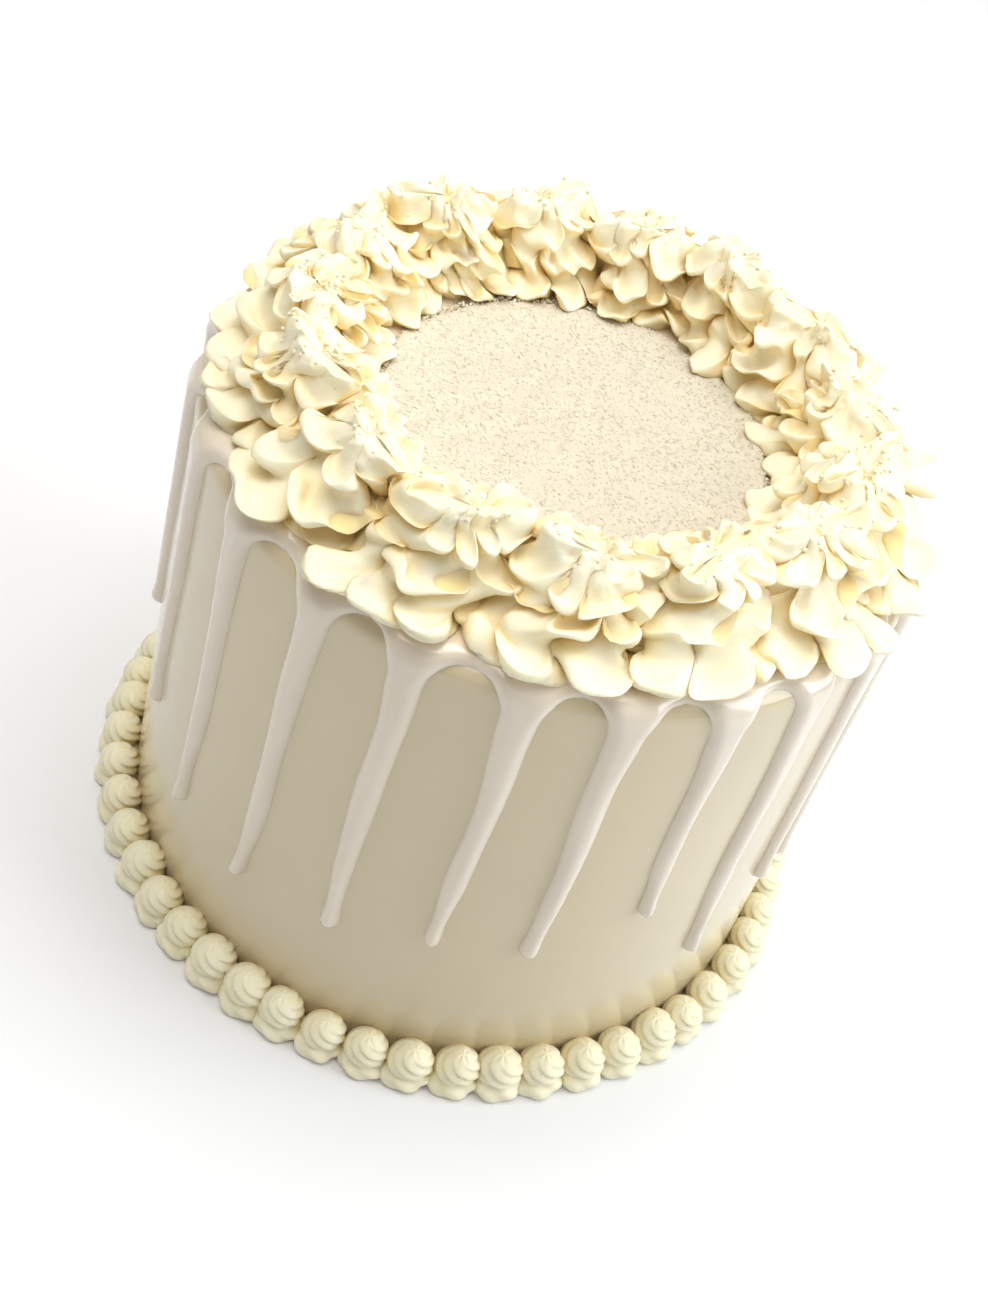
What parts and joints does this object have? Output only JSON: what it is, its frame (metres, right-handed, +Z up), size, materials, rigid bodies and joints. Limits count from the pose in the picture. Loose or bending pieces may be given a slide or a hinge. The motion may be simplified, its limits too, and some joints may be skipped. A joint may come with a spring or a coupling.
{
  "type": "ganache drip cake",
  "caption": "Tall round buttercream cake with a white ganache cap and long drips, a ring of piped swirls round a sugared middle, and a piped bead border at its foot.",
  "frame": {"origin": "middle of the cake's flat underside, on the surface it stands on", "axes": "+Z up along the cake's axis, -Y towards the front that the picture shows, +X to the right"},
  "size_m": [0.1788, 0.1782, 0.1447],
  "materials": {
    "side_buttercream": "satin",
    "ganache": "gloss",
    "sugar": "sparkling grains",
    "border_buttercream": "satin",
    "piped_buttercream": "satin"
  },
  "bodies": {
    "root": {"cake_body": "side_buttercream", "ganache_drip": "ganache", "sugar_layer": "sugar", "base_border": "border_buttercream", "swirl_01": "piped_buttercream", "swirl_02": "piped_buttercream", "swirl_03": "piped_buttercream", "swirl_04": "piped_buttercream", "swirl_05": "piped_buttercream", "swirl_06": "piped_buttercream", "swirl_07": "piped_buttercream", "swirl_08": "piped_buttercream", "swirl_09": "piped_buttercream", "swirl_10": "piped_buttercream", "swirl_11": "piped_buttercream", "swirl_12": "piped_buttercream", "swirl_13": "piped_buttercream", "swirl_14": "piped_buttercream", "swirl_15": "piped_buttercream"}
  },
  "joints": []
}
